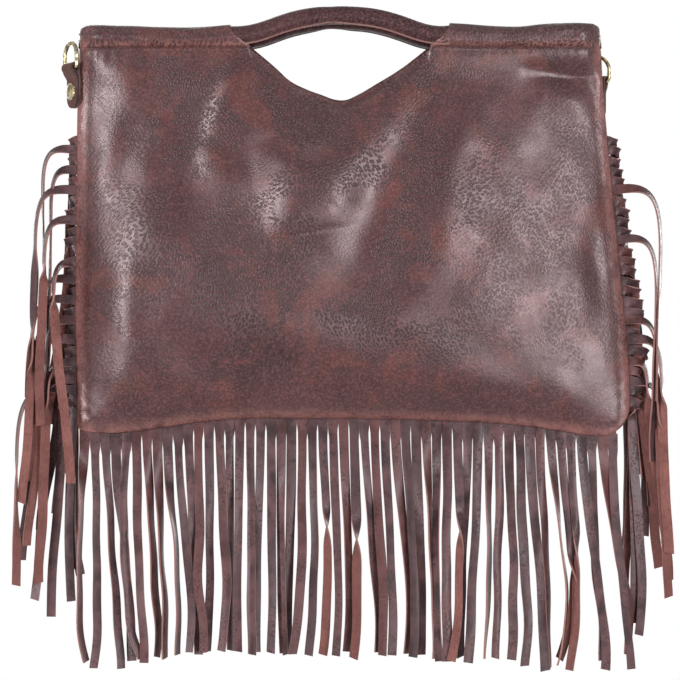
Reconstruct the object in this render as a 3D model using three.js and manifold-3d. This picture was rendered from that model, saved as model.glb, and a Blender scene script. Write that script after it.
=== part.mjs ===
// A soft leather handbag with a cut-out grip: two bulging panels sewn along the sides and the bottom,
// a rolled handle held in the folded top of each panel, fringes caught in the seam, and a D-ring on
// a riveted tab at each end. Millimetres, +Z up, front towards -Y. The origin is the hold point,
// midway between the two handles, level with the underside of their arches.
import * as THREE from "three";
import { mergeVertices } from "three/addons/utils/BufferGeometryUtils.js";
import Module from "manifold-3d";

const wasm = await Module();
wasm.setup();

// Driving dimensions: leather and seams
const PANEL_LEATHER = 1.5;
const FRINGE_LEATHER = 1.4;
const SEAM_GAP = 0.3; // between leathers that lie on each other
const SEAM_ALLOWANCE = 8; // width of the sewn edge of a panel

// Driving dimensions: panels
const TOP_HALF_WIDTH = 187;
const SPREAD_LEFT = 2; // how much wider the left side is at the bottom
const SPREAD_RIGHT = 22; // and the right side
const CORNER_DROP = 291; // from the hold point down to the bottom corners
const BOTTOM_RISE = 8; // the middle of the bottom seam is this much higher
const CORNER_RADIUS = 15;
const BULGE = 36; // of one panel, past its seam
const BULGE_DROP = 180; // the bulge is full from here down
const EDGE_RUN = 110; // the bulge rises over this distance from the seam
const PANEL_COLUMNS = 20;
const PANEL_ROWS = 15;

// Driving dimensions: handles and the folded tunnels that hold them
const HANDLE_DIAMETER = 13;
const HANDLE_ARCH_RISE = 15.5; // of the arch above the tunnels
const TUNNEL_CLEARANCE = 0.4; // around the handle
const TUNNEL_END_GAP = 1.1; // from a tunnel's end to the middle plane
const MOUTH_BOW = 5.5; // the tunnels bow out by this much towards the grip
const TUNNEL_INSET = 3; // from the side seam to a tunnel's end
const ROUND_SIDES = 10;
const HANDLE_STEPS = 32;

// Driving dimensions: the grip cut-out, below the hold point
const CUT_HALF_WIDTH = 78.5;
const CUT_DEPTH = 55;
// Its right half as shares of the half width and the depth, from the lowest point up
const CUT_CURVE = [
  [0, 1], [0.13, 0.96], [0.28, 0.845], [0.57, 0.565],
  [0.79, 0.335], [0.93, 0.2], [0.985, 0.09], [1, 0],
];

// Driving dimensions: fringes
const STRIP_LEATHER = 1.3; // side strips have stretched a little thinner than their header
const STRIP_PITCH = 7.2;
const STRIP_CUT = 0.6; // between two strips
const HEADER_SHOWN = 3; // uncut leather outside the side seams
const BOTTOM_HEADER_SHOWN = 7; // and below the bottom seam
const BOTTOM_STRIP = 168; // length of a bottom strip
const SIDE_STRIP = 175; // length of a side strip
const SIDE_FRINGE_TOP = 78; // from the hold point down to the first side strip
const CORNER_GAP = 2; // between the side and bottom fringes at a corner
const STRIP_BEND = 4; // radius of a strip's turn from outwards to downwards
const LEG_CLEARANCE = 9; // from the header at the bottom corner to the bend of the innermost strip
const FRINGE_LANES = 3; // strips hang side by side in this many lanes
const LANE_GAP = 1;
const LAYER_STEP_LEFT = 3.6; // outward step of each layer of hanging strips
const LAYER_STEP_RIGHT = 2.2;

// Driving dimensions: ring tabs, rings and rivets
const TAB_WIDTH = 16;
const TAB_LENGTH = 29; // below the ring's bar
const TAB_LEATHER = 1.5;
const TAB_STAND_OFF = 0.5; // from the seam's edge to the tab
const RING_WIRE = 3;
const RING_BAR_PLAY = 0.8; // around the ring's bar, in the tab's eye
const RING_SIDE_PLAY = 0.75; // from the tab to each arm of the ring
const RING_RISE = 18; // from the bar to the top of the ring, at mid wire
const RING_BEND = 2.6; // radius at the corners of the bar, at mid wire
const RIVET_DROP = 17; // below the ring's bar
const RIVET_SHANK = 3.2;
const RIVET_CAP = 13;
const RIVET_DOME = 2.6;
const RIVET_BASE = 9;
const RIVET_BASE_THICKNESS = 0.6;
const RIVET_PLAY = 0.15;
// Each tab: the drop of its ring's top below the hold point, how far it faces away from straight outwards,
// and its shift along the side
const LEFT_TAB = { ringTop: 10, yaw: 30, shift: 5.5 };
const RIGHT_TAB = { ringTop: 19, yaw: 60, shift: -8.5 };

// Sizes that follow
const TUNNEL_BORE = HANDLE_DIAMETER / 2 + TUNNEL_CLEARANCE;
const TUNNEL_RADIUS = TUNNEL_BORE + PANEL_LEATHER;
const TUNNEL_Z = HANDLE_DIAMETER / 2 - HANDLE_ARCH_RISE;
const TUNNEL_END_Y = TUNNEL_RADIUS + TUNNEL_END_GAP;
const GRIP_Y = TUNNEL_END_Y + MOUTH_BOW;
const SEAM_INNER = FRINGE_LEATHER / 2 + SEAM_GAP; // inner face of a panel at the seam
const SEAM_OUTER = SEAM_INNER + PANEL_LEATHER;
const TOP_BULGE = GRIP_Y - SEAM_OUTER;
const STRIP_WIDTH = STRIP_PITCH - STRIP_CUT;
const LANE_PITCH = STRIP_WIDTH + LANE_GAP;
const EYE_RADIUS = RING_WIRE / 2 + RING_BAR_PLAY;
const LOOP_RADIUS = EYE_RADIUS + TAB_LEATHER;
const RING_HALF_WIDTH = TAB_WIDTH / 2 + RING_SIDE_PLAY + RING_WIRE / 2;
const TUNNEL_OUTER_END = TOP_HALF_WIDTH - TUNNEL_INSET;
const FAR = 400; // longer than any cut

// Colours of the leather and of the metal, as seen
const GRAIN_LEATHER = { color: 0x604547, roughness: 0.5, metalness: 0 };
const HANDLE_LEATHER = { color: 0x5e4243, roughness: 0.5, metalness: 0 };
const FRINGE_COLOUR = { color: 0x6d5351, roughness: 0.65, metalness: 0 };
const BRASS = { color: 0xc9b27a, roughness: 0.3, metalness: 1 };

const bag = new THREE.Group();

function addPiece(name, geometry, look, parent = bag) {
  const piece = new THREE.Mesh(geometry, new THREE.MeshStandardMaterial(look));
  piece.name = name;
  parent.add(piece);
  return piece;
}

// Solids for joining and cutting
function toSolid(geometry) {
  const bare = geometry.index ? geometry.toNonIndexed() : geometry.clone();
  bare.deleteAttribute("normal");
  bare.deleteAttribute("uv");
  const merged = mergeVertices(bare, 1e-3);
  return new wasm.Manifold(new wasm.Mesh({
    numProp: 3,
    vertProperties: merged.attributes.position.array,
    triVerts: new Uint32Array(merged.index.array),
  }));
}

function toGeometry(solid) {
  const mesh = solid.getMesh();
  const geometry = new THREE.BufferGeometry();
  geometry.setAttribute("position", new THREE.BufferAttribute(mesh.vertProperties, 3));
  geometry.setIndex(new THREE.BufferAttribute(mesh.triVerts, 1));
  geometry.computeVertexNormals();
  return geometry;
}

// A shape drawn as (x, z) and given the thickness from low to high along Y
function slab(shape, low, high, curveSegments = 8) {
  const options = { depth: high - low, bevelEnabled: false, curveSegments };
  return new THREE.ExtrudeGeometry(shape, options).rotateX(Math.PI / 2).translate(0, high, 0);
}

function roundSection(radius) {
  return new THREE.Shape(new THREE.EllipseCurve(0, 0, radius, radius).getPoints(ROUND_SIDES).slice(0, -1));
}

function roundBar(path, radius, steps) {
  return new THREE.ExtrudeGeometry(roundSection(radius), { steps, extrudePath: path, bevelEnabled: false });
}

const clamp01 = (t) => Math.min(1, Math.max(0, t));
const smooth = (t) => clamp01(t) ** 2 * (3 - 2 * clamp01(t));

// The seam's outline
const heightShare = (z) => (TUNNEL_Z - z) / (CORNER_DROP + TUNNEL_Z);
const leftSeam = (z) => -TOP_HALF_WIDTH - SPREAD_LEFT * heightShare(z);
const rightSeam = (z) => TOP_HALF_WIDTH + SPREAD_RIGHT * heightShare(z);
const LEFT_CORNER = leftSeam(-CORNER_DROP);
const RIGHT_CORNER = rightSeam(-CORNER_DROP);

function bottomSeam(x) {
  const across = (2 * (x - LEFT_CORNER)) / (RIGHT_CORNER - LEFT_CORNER) - 1;
  return -CORNER_DROP + BOTTOM_RISE * (1 - Math.min(1, across * across));
}

// Distance inwards from the seam, with rounded bottom corners
function seamDistance(x, z) {
  const side = Math.min(x - leftSeam(z), rightSeam(z) - x);
  const below = z - bottomSeam(x);
  if (side < CORNER_RADIUS && below < CORNER_RADIUS) {
    return CORNER_RADIUS - Math.hypot(CORNER_RADIUS - side, CORNER_RADIUS - below);
  }
  return Math.min(side, below);
}

function panelOuter(x, z) {
  const run = clamp01((seamDistance(x, z) - SEAM_ALLOWANCE) / EDGE_RUN);
  const height = TOP_BULGE + (BULGE - TOP_BULGE) * smooth((TUNNEL_Z - z) / (BULGE_DROP + TUNNEL_Z));
  return SEAM_OUTER + height * Math.sqrt(1 - (1 - run) ** 2);
}

// Panel outline up to the tunnel's axis, drawn as (x, z)
function panelOutline() {
  const shape = new THREE.Shape();
  const turnZ = CORNER_RADIUS - CORNER_DROP; // where the sides turn into the corners
  const start = LEFT_CORNER + CORNER_RADIUS;
  const span = RIGHT_CORNER - CORNER_RADIUS - start;
  shape.moveTo(-TOP_HALF_WIDTH, TUNNEL_Z);
  shape.lineTo(leftSeam(turnZ), turnZ);
  shape.quadraticCurveTo(LEFT_CORNER, -CORNER_DROP, start, bottomSeam(start));
  for (let i = 1; i <= PANEL_COLUMNS; i += 1) {
    const x = start + (span * i) / PANEL_COLUMNS;
    shape.lineTo(x, bottomSeam(x));
  }
  shape.quadraticCurveTo(RIGHT_CORNER, -CORNER_DROP, rightSeam(turnZ), turnZ);
  shape.lineTo(TOP_HALF_WIDTH, TUNNEL_Z);
  shape.closePath();
  return shape;
}

// The bulging sheet, a little wider than the outline: outer and inner skins and the rim between them
function bulgingSheet() {
  const margin = 2;
  const positions = [];
  const faces = [];
  const right = PANEL_COLUMNS;
  const top = PANEL_ROWS;
  const layer = (right + 1) * (top + 1);
  const at = (j, i, skin) => skin * layer + j * (right + 1) + i;
  for (const depth of [0, PANEL_LEATHER]) {
    for (let j = 0; j <= PANEL_ROWS; j += 1) {
      const up = 1 - Math.cos((Math.PI / 2) * (j / PANEL_ROWS)); // closer rows at the bottom
      const z = -CORNER_DROP - margin + (CORNER_DROP + margin + TUNNEL_Z) * up;
      for (let i = 0; i <= PANEL_COLUMNS; i += 1) {
        const across = (1 - Math.cos((Math.PI * i) / PANEL_COLUMNS)) / 2; // closer columns at the sides
        const x = leftSeam(z) - margin + (rightSeam(z) - leftSeam(z) + 2 * margin) * across;
        positions.push(x, -panelOuter(x, z) + depth, z);
      }
    }
  }
  const quad = (a, b, c, d) => faces.push(a, b, c, a, c, d);
  for (let j = 0; j < top; j += 1) {
    for (let i = 0; i < right; i += 1) {
      quad(at(j, i, 0), at(j, i + 1, 0), at(j + 1, i + 1, 0), at(j + 1, i, 0));
      quad(at(j, i, 1), at(j + 1, i, 1), at(j + 1, i + 1, 1), at(j, i + 1, 1));
    }
    quad(at(j, 0, 0), at(j + 1, 0, 0), at(j + 1, 0, 1), at(j, 0, 1));
    quad(at(j + 1, right, 0), at(j, right, 0), at(j, right, 1), at(j + 1, right, 1));
  }
  for (let i = 0; i < right; i += 1) {
    quad(at(0, i + 1, 0), at(0, i, 0), at(0, i, 1), at(0, i + 1, 1));
    quad(at(top, i, 0), at(top, i + 1, 0), at(top, i + 1, 1), at(top, i, 1));
  }
  const geometry = new THREE.BufferGeometry();
  geometry.setAttribute("position", new THREE.BufferAttribute(new Float32Array(positions), 3));
  geometry.setIndex(faces);
  return geometry;
}

// The axis of the front handle in its tunnel on one side, from the mouth of the grip outwards
function tunnelPoint(x) {
  const out = (Math.abs(x) - CUT_HALF_WIDTH) / (TUNNEL_OUTER_END - CUT_HALF_WIDTH);
  return new THREE.Vector3(x, -(GRIP_Y - MOUTH_BOW * out), TUNNEL_Z);
}

function tunnelTube(side, radius, outerEnd) {
  const inside = tunnelPoint(side * (CUT_HALF_WIDTH - 2 * TUNNEL_RADIUS));
  return toSolid(roundBar(new THREE.LineCurve3(inside, tunnelPoint(side * outerEnd)), radius, 1));
}

// The cut-out of the grip, through everything above its curve
function gripCut() {
  const point = ([across, down]) => new THREE.Vector2(across * CUT_HALF_WIDTH, -down * CUT_DEPTH);
  const right = CUT_CURVE.map(point);
  const left = right.slice(1).reverse().map((p) => new THREE.Vector2(-p.x, p.y));
  const curve = new THREE.SplineCurve([...left, ...right]).getPoints(3 * CUT_CURVE.length);
  const shape = new THREE.Shape(curve);
  shape.lineTo(CUT_HALF_WIDTH, FAR);
  shape.lineTo(-CUT_HALF_WIDTH, FAR);
  shape.closePath();
  return toSolid(slab(shape, -FAR, FAR));
}

function panelSolid() {
  const outline = toSolid(slab(panelOutline(), -FAR, 0));
  let panel = toSolid(bulgingSheet()).intersect(outline);
  for (const side of [-1, 1]) {
    panel = panel.add(tunnelTube(side, TUNNEL_RADIUS, TUNNEL_OUTER_END));
  }
  for (const side of [-1, 1]) {
    panel = panel.subtract(tunnelTube(side, TUNNEL_BORE, TUNNEL_OUTER_END - PANEL_LEATHER));
  }
  return panel.subtract(gripCut());
}

// The front handle's axis: straight in the tunnels, arched over the grip
function handlePath() {
  const end = TUNNEL_OUTER_END - PANEL_LEATHER - SEAM_GAP;
  const path = new THREE.CurvePath();
  const mouth = { left: tunnelPoint(-CUT_HALF_WIDTH), right: tunnelPoint(CUT_HALF_WIDTH) };
  const lead = 0.35 * CUT_HALF_WIDTH;
  const top = new THREE.Vector3(0, -GRIP_Y, TUNNEL_Z + HANDLE_ARCH_RISE);
  const along = (x) => new THREE.Vector3(x, 0, 0);
  const intoGrip = (side) => tunnelPoint(side * (CUT_HALF_WIDTH - lead));
  path.add(new THREE.LineCurve3(tunnelPoint(-end), mouth.left));
  path.add(new THREE.CubicBezierCurve3(mouth.left, intoGrip(-1), top.clone().add(along(-1.6 * lead)), top));
  path.add(new THREE.CubicBezierCurve3(top, top.clone().add(along(1.6 * lead)), intoGrip(1), mouth.right));
  path.add(new THREE.LineCurve3(mouth.right, tunnelPoint(end)));
  return path;
}

// A piece of the front turned round to the back, keeping left and right
function mirrorToBack(geometry) {
  const back = mergeVertices(geometry).scale(1, -1, 1);
  const index = Array.from(back.index.array);
  for (let i = 0; i < index.length; i += 3) {
    [index[i + 1], index[i + 2]] = [index[i + 2], index[i + 1]];
  }
  back.setIndex(index);
  back.computeVertexNormals();
  return back;
}

function addPanelsAndHandles() {
  const panel = toGeometry(panelSolid());
  addPiece("front_panel", panel, GRAIN_LEATHER);
  addPiece("back_panel", mirrorToBack(panel), GRAIN_LEATHER);
  const handle = roundBar(handlePath(), HANDLE_DIAMETER / 2, HANDLE_STEPS);
  addPiece("front_handle", handle, HANDLE_LEATHER);
  addPiece("back_handle", mirrorToBack(handle), HANDLE_LEATHER);
}

// The bottom fringe: one comb of leather whose header is caught in the bottom seam
function bottomFringe() {
  const inset = SEAM_ALLOWANCE + CORNER_GAP;
  const start = LEFT_CORNER + inset;
  const count = Math.floor((RIGHT_CORNER - LEFT_CORNER - 2 * inset + STRIP_CUT) / STRIP_PITCH);
  const shape = new THREE.Shape();
  shape.moveTo(start, bottomSeam(start) + SEAM_ALLOWANCE);
  for (let i = 0; i < count; i += 1) {
    const left = start + i * STRIP_PITCH;
    const right = left + STRIP_WIDTH;
    const cut = bottomSeam(left + STRIP_WIDTH / 2) - BOTTOM_HEADER_SHOWN;
    shape.lineTo(left, cut);
    shape.lineTo(left, cut - BOTTOM_STRIP);
    shape.lineTo(right, cut - BOTTOM_STRIP);
    shape.lineTo(right, cut);
  }
  for (let i = count - 1; i > 0; i -= 1) {
    const x = start + i * STRIP_PITCH + STRIP_WIDTH;
    shape.lineTo(x, bottomSeam(x) + SEAM_ALLOWANCE);
  }
  shape.closePath();
  return slab(shape, -FRINGE_LEATHER / 2, FRINGE_LEATHER / 2);
}

// A strip through stations, each with its middle, the direction of its width and that of its thickness
function stripSolid(stations) {
  const positions = [];
  const faces = [];
  const corners = [[-1, -1], [-1, 1], [1, 1], [1, -1]];
  for (const { middle, width, face } of stations) {
    for (const [w, f] of corners) {
      const corner = middle.clone();
      corner.addScaledVector(width, (w * STRIP_WIDTH) / 2);
      corner.addScaledVector(face, (f * STRIP_LEATHER) / 2);
      positions.push(corner.x, corner.y, corner.z);
    }
  }
  const quad = (a, b, c, d) => faces.push(a, b, c, a, c, d);
  for (let s = 0; s + 1 < stations.length; s += 1) {
    for (let k = 0; k < 4; k += 1) {
      const next = (k + 1) % 4;
      quad(4 * s + k, 4 * s + next, 4 * s + 4 + next, 4 * s + 4 + k);
    }
  }
  const last = 4 * (stations.length - 1);
  quad(0, 3, 2, 1);
  quad(last, last + 1, last + 2, last + 3);
  const geometry = new THREE.BufferGeometry();
  geometry.setAttribute("position", new THREE.BufferAttribute(new Float32Array(positions), 3));
  geometry.setIndex(faces);
  return toSolid(geometry);
}

// A side strip: from the header out on edge, turned flat on its way to its lane, then over and down
function sideStrip(side, rootX, rootZ, legX, lane) {
  const laneY = (lane - (FRINGE_LANES - 1) / 2) * LANE_PITCH;
  const out = new THREE.Vector3(side, 0, 0);
  const up = new THREE.Vector3(0, 0, 1);
  const flat = new THREE.Vector3(0, -side, 0);
  const stations = [];
  const turnX = legX - side * STRIP_BEND;
  const run = [
    [rootX - side * HEADER_SHOWN, 0], [rootX, 0], [(rootX + turnX) / 2, 0.5], [turnX, 1],
  ];
  for (const [x, share] of run) {
    const twist = (share * Math.PI) / 2;
    const width = up.clone().multiplyScalar(Math.cos(twist)).addScaledVector(flat, Math.sin(twist));
    const face = up.clone().multiplyScalar(Math.sin(twist)).addScaledVector(flat, -Math.cos(twist));
    stations.push({ middle: new THREE.Vector3(x, share * laneY, rootZ), width, face });
  }
  const turn = new THREE.Vector3(turnX, laneY, rootZ - STRIP_BEND);
  for (const angle of [Math.PI / 4, Math.PI / 2]) {
    const outward = out.clone().multiplyScalar(Math.sin(angle)).addScaledVector(up, Math.cos(angle));
    const middle = turn.clone().addScaledVector(outward, STRIP_BEND);
    stations.push({ middle, width: flat, face: outward });
  }
  const used = Math.abs(legX - rootX) + STRIP_BEND;
  const tip = new THREE.Vector3(legX, laneY, turn.z - (SIDE_STRIP - used));
  stations.push({ middle: tip, width: flat, face: out });
  return stripSolid(stations);
}

// A side fringe: a header caught in the side seam, and strips that hang over each other,
// the upper ones outside
function sideFringe(side) {
  const seam = side < 0 ? leftSeam : rightSeam;
  const layerStep = side < 0 ? LAYER_STEP_LEFT : LAYER_STEP_RIGHT;
  const low = -CORNER_DROP + SEAM_ALLOWANCE + CORNER_GAP + BOTTOM_RISE;
  const count = Math.floor((-SIDE_FRINGE_TOP - low) / STRIP_PITCH);
  const top = -SIDE_FRINGE_TOP;
  const shape = new THREE.Shape();
  shape.moveTo(seam(top) + side * HEADER_SHOWN, top);
  shape.lineTo(seam(top) - side * SEAM_ALLOWANCE, top);
  shape.lineTo(seam(low) - side * SEAM_ALLOWANCE, low);
  shape.lineTo(seam(low) + side * HEADER_SHOWN, low);
  shape.closePath();
  const strips = [toSolid(slab(shape, -FRINGE_LEATHER / 2, FRINGE_LEATHER / 2))];
  const innerLeg = seam(low) + side * (HEADER_SHOWN + LEG_CLEARANCE + STRIP_BEND);
  for (let i = 0; i < count; i += 1) {
    const rootZ = top - STRIP_PITCH * (i + 0.5);
    const layer = Math.floor((count - 1 - i) / FRINGE_LANES);
    const legX = innerLeg + side * layer * layerStep;
    strips.push(sideStrip(side, seam(rootZ) + side * HEADER_SHOWN, rootZ, legX, i % FRINGE_LANES));
  }
  return toGeometry(wasm.Manifold.union(strips));
}

function addFringes() {
  addPiece("bottom_fringe", bottomFringe(), FRINGE_COLOUR);
  addPiece("left_side_fringe", sideFringe(-1), FRINGE_COLOUR);
  addPiece("right_side_fringe", sideFringe(1), FRINGE_COLOUR);
}

// Ring tab in its own frame: +X out from the bag, Y along the ring's bar, whose axis is at
// x = LOOP_RADIUS, z = 0. It is a strap folded round the bar: the inner leg runs straight up,
// the loop bulges out and the outer leg lies on the inner one.
function ringTab() {
  const outerFace = 2 * TAB_LEATHER + SEAM_GAP;
  const waist = -2.2 * LOOP_RADIUS;
  const shape = new THREE.Shape();
  shape.moveTo(0, -TAB_LENGTH);
  shape.lineTo(0, 0);
  shape.absarc(LOOP_RADIUS, 0, LOOP_RADIUS, Math.PI, -Math.PI / 4, true);
  shape.lineTo(outerFace, waist);
  shape.lineTo(outerFace, -TAB_LENGTH);
  shape.lineTo(outerFace - TAB_LEATHER, -TAB_LENGTH);
  shape.lineTo(outerFace - TAB_LEATHER, waist);
  shape.absarc(LOOP_RADIUS, 0, EYE_RADIUS, -Math.PI / 4, Math.PI, false);
  shape.lineTo(TAB_LEATHER, -TAB_LENGTH);
  shape.closePath();
  const strap = toSolid(slab(shape, -TAB_WIDTH / 2, TAB_WIDTH / 2, 6));
  const half = TAB_WIDTH / 2;
  const tongue = new THREE.Shape();
  tongue.moveTo(-half, FAR);
  tongue.lineTo(-half, half - TAB_LENGTH);
  tongue.absarc(0, half - TAB_LENGTH, half, Math.PI, 2 * Math.PI, false);
  tongue.lineTo(half, FAR);
  tongue.closePath();
  const rounded = strap.intersect(toSolid(slab(tongue, -FAR, FAR, 6).rotateZ(Math.PI / 2)));
  const holeRadius = RIVET_SHANK / 2 + RIVET_PLAY;
  const hole = new THREE.CylinderGeometry(holeRadius, holeRadius, FAR, 2 * ROUND_SIDES);
  return toGeometry(rounded.subtract(toSolid(hole.rotateZ(Math.PI / 2).translate(0, 0, -RIVET_DROP))));
}

// Rivet: base against the bag, shank through both legs, domed cap outside
function tabRivet() {
  const capSeat = 2 * TAB_LEATHER + SEAM_GAP + RIVET_PLAY;
  const back = -RIVET_PLAY - RIVET_BASE_THICKNESS;
  const cap = RIVET_CAP / 2;
  const profile = [
    [0, back], [RIVET_BASE / 2, back], [RIVET_BASE / 2, -RIVET_PLAY],
    [RIVET_SHANK / 2, -RIVET_PLAY], [RIVET_SHANK / 2, capSeat], [cap, capSeat],
    [cap, capSeat + 0.25 * RIVET_DOME], [0.7 * cap, capSeat + 0.75 * RIVET_DOME],
    [0.35 * cap, capSeat + 0.95 * RIVET_DOME], [0, capSeat + RIVET_DOME],
  ];
  const turned = new THREE.LatheGeometry(profile.map(([r, h]) => new THREE.Vector2(r, h)), 2 * ROUND_SIDES);
  return turned.rotateZ(-Math.PI / 2).translate(0, 0, -RIVET_DROP);
}

// D-ring standing up from its bar
function dRing() {
  const half = RING_HALF_WIDTH;
  const outline = new THREE.Path();
  outline.moveTo(0, 0);
  outline.lineTo(half - RING_BEND, 0);
  outline.absarc(half - RING_BEND, RING_BEND, RING_BEND, -Math.PI / 2, 0, false);
  outline.lineTo(half, RING_RISE - half);
  outline.absarc(0, RING_RISE - half, half, 0, Math.PI, false);
  outline.lineTo(-half, RING_BEND);
  outline.absarc(RING_BEND - half, RING_BEND, RING_BEND, Math.PI, 1.5 * Math.PI, false);
  outline.closePath();
  const points = outline.getSpacedPoints(36).slice(0, -1);
  const middles = points.map((p) => new THREE.Vector3(LOOP_RADIUS, p.x, p.y));
  const path = new THREE.CatmullRomCurve3(middles, true);
  return new THREE.TubeGeometry(path, 36, RING_WIRE / 2, 8, true);
}

// A tab with its ring and rivet stands against the edge of the side seam, turned about the vertical
function addRingSet(side, name, tab) {
  const seam = side < 0 ? leftSeam : rightSeam;
  const group = new THREE.Group();
  const yaw = THREE.MathUtils.degToRad(tab.yaw) + (side < 0 ? Math.PI : 0);
  const outward = new THREE.Vector2(Math.cos(yaw), Math.sin(yaw));
  const along = new THREE.Vector2(-outward.y, outward.x);
  const barZ = -tab.ringTop - RING_WIRE / 2 - RING_RISE;
  const corner = new THREE.Vector2(seam(barZ - RIVET_DROP), side * SEAM_OUTER);
  const place = corner.addScaledVector(outward, TAB_STAND_OFF).addScaledVector(along, -tab.shift);
  group.position.set(place.x, place.y, barZ);
  group.rotation.z = yaw;
  addPiece(`${name}_ring_tab`, ringTab(), GRAIN_LEATHER, group);
  addPiece(`${name}_d_ring`, dRing(), BRASS, group);
  addPiece(`${name}_tab_rivet`, tabRivet(), BRASS, group);
  bag.add(group);
}

addPanelsAndHandles();
addFringes();
addRingSet(-1, "left", LEFT_TAB);
addRingSet(1, "right", RIGHT_TAB);

export default bag;
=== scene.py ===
"""Looks of a fringed leather handbag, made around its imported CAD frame.

Shapes are worked out in millimetres and become metres when a piece is made. X is right, Y back and Z up.
"""

import math
import random
from types import SimpleNamespace

import bpy
import numpy as np
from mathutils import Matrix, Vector


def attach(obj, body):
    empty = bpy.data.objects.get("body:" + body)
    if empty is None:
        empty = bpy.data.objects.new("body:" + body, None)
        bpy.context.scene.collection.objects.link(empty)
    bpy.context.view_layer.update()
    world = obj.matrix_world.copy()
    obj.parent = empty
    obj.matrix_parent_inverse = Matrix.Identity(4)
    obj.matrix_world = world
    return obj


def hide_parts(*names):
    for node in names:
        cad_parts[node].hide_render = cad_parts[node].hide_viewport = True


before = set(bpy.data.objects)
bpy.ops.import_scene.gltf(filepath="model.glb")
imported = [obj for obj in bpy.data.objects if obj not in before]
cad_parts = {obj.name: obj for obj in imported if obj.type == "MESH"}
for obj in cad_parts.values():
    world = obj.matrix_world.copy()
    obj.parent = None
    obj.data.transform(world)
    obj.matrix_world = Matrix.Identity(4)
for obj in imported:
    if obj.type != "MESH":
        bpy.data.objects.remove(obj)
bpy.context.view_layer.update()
MM = 0.001

# The photo's frame at the bag, in metres. The camera is level with the middle of the picture.
FRAME_WIDTH = 0.4896
FRAME_CENTRE_Z = -0.2254
CAMERA_DISTANCE = 1.9
SENSOR_WIDTH = 36.0

# Lamps and floor, in metres
LAMP_AIM = Vector((0.0, 0.0, -0.2))
FLOOR_HALF = 0.6
FLOOR_Z = -0.6

# Panels
LEATHER = 1.5
SEAM_Y = 0.8
TOP_HALF_WIDTH = 187.0
PANEL_WIDTH = 390.0
FULLNESS = 0.62
LEFT_RUN = 100.0
LEFT_FULLNESS = 0.12
FULL_EDGE_RUN = 45.0
SLOW_RUN = 170.0
FULL_EDGE_TOP = -24.0
FULL_EDGE_FADE = 40.0
RIGHT_RUN = 165.0
RIGHT_FULLNESS = 0.42
BOTTOM_RUN = 95.0
TOP_DEPTH = 14.0
BELLY_DEPTH = 36.0
BELLY_DROP = 171.0
LEFT_CORNER = 5.0
RIGHT_CORNER = 24.0
TUNNEL_Z = -9.0
TUNNEL_HEIGHT = 8.2
TUNNEL_DEPTH = 7.4
STITCH_Z = -16.4
MOUTH_AT_STITCH = 64.0
TUNNEL_RUN = TOP_HALF_WIDTH - MOUTH_AT_STITCH
TUNNEL_END_RUN = 17.0
TUNNEL_END_HALF_DEPTH = 1.65
TUNNEL_END_OUT = SEAM_Y + 1.7
TUNNEL_END_CORNER = 8.0
GROOVE_PLACE = 7.5
GROOVE_WIDTH = 2.6
GROOVE_DEPTH = 0.35
TUNNEL_COLUMNS = 60
GRIP_COLUMNS = 80
BODY_ROWS = 130
WRAP_ROWS = 36
WRAP_START = -72.0
WRAP_END = 256.0
ROW_CROWDING = 1.25
COLUMN_CROWDING = 1.35
TUNNEL_SHARES = np.linspace(0.0, 1.0, TUNNEL_COLUMNS + 1) ** COLUMN_CROWDING

# Fringes
STRIP_PITCH = 7.2
STRIP_WIDTH = 6.6
STRIP_LEATHER = 1.3
HEADER_LEATHER = 1.4
BOTTOM_PITCH = 7.45
BOTTOM_STRIP_WIDTH = 6.9
BOTTOM_FIRST_X = -187.5
SLIT_SHORTEST = 4.0
SLIT_LONGEST = 13.0
SHORTEST_TIP_Z = -448.6
SIDE_STRIP = 175.0
SIDE_STRIPS = 27
SIDE_TOP_Z = -78.0
STRIP_STATIONS = 40
HEADER_ROWS = np.array([6.0, 4.0, 2.0, 0.0])

# Handles
HANDLE_RADIUS = 6.6
HANDLE_Y = 15.0
HANDLE_TOP_Z = 6.5
HANDLE_END_X = 174.0
HANDLE_MOUTH_X = 78.5
HANDLE_TOE_IN = 5.5 / 105.5
HANDLE_SECTION = np.radians(np.linspace(-42, 288, 31))
LIP_SECTION = [(-62, 0.9), (-57, 1.9), (-47, 1.8)]

# Ring sets: each has a point on the bag and the way out of the bag.
LEFT_SET = ((-190.449, 2.013, -29.5), (-0.8660, -0.5, 0.0))
RIGHT_SET = ((183.516, 7.183, -38.5), (0.5, 0.8660, 0.0))
TAB_HALF_WIDTH = 8.0
TAB_LEATHER = 1.5
TAB_OUTER_LEG = 2.55
TAB_LEAN = math.radians(33.0)
TAB_FOOT = -29.0
TAB_WAIST = -8.4
EYE_X = 3.8
EYE_MIDDLE_RADIUS = 3.05
RING_HALF_WIDTH = 10.25
RING_CORNER = 2.6
RING_ARM_TOP = 7.75
RING_WIRE = 1.5
WIRE_SIDES = 16
RIVET_Z = -17.0
RIVET_SEAT = 3.4
RIVET_CAP = 6.5
RIVET_DOME = 2.6
RIVET_SHANK = 1.6
RIVET_RIM = 0.6
RIVET_SIDES = 40


def smooth(t):
    """0 to 1 with flat ends."""
    t = np.clip(t, 0.0, 1.0)
    return t * t * (3.0 - 2.0 * t)


def spline(knots):
    """A smooth line through (place, value) knots, level beyond its ends."""
    at = np.array([k[0] for k in knots], float)
    value = np.array([k[1] for k in knots], float)
    slope = np.gradient(value, at)

    def line(x):
        x = np.clip(x, at[0], at[-1])
        i = np.clip(np.searchsorted(at, x, side="right") - 1, 0, len(at) - 2)
        run = at[i + 1] - at[i]
        t = (x - at[i]) / run
        ends = value[i] * (1 + 2 * t) * (1 - t) ** 2 + value[i + 1] * t * t * (3 - 2 * t)
        bends = slope[i] * run * t * (1 - t) ** 2 - slope[i + 1] * run * t * t * (1 - t)
        return ends + bends

    return line


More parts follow.
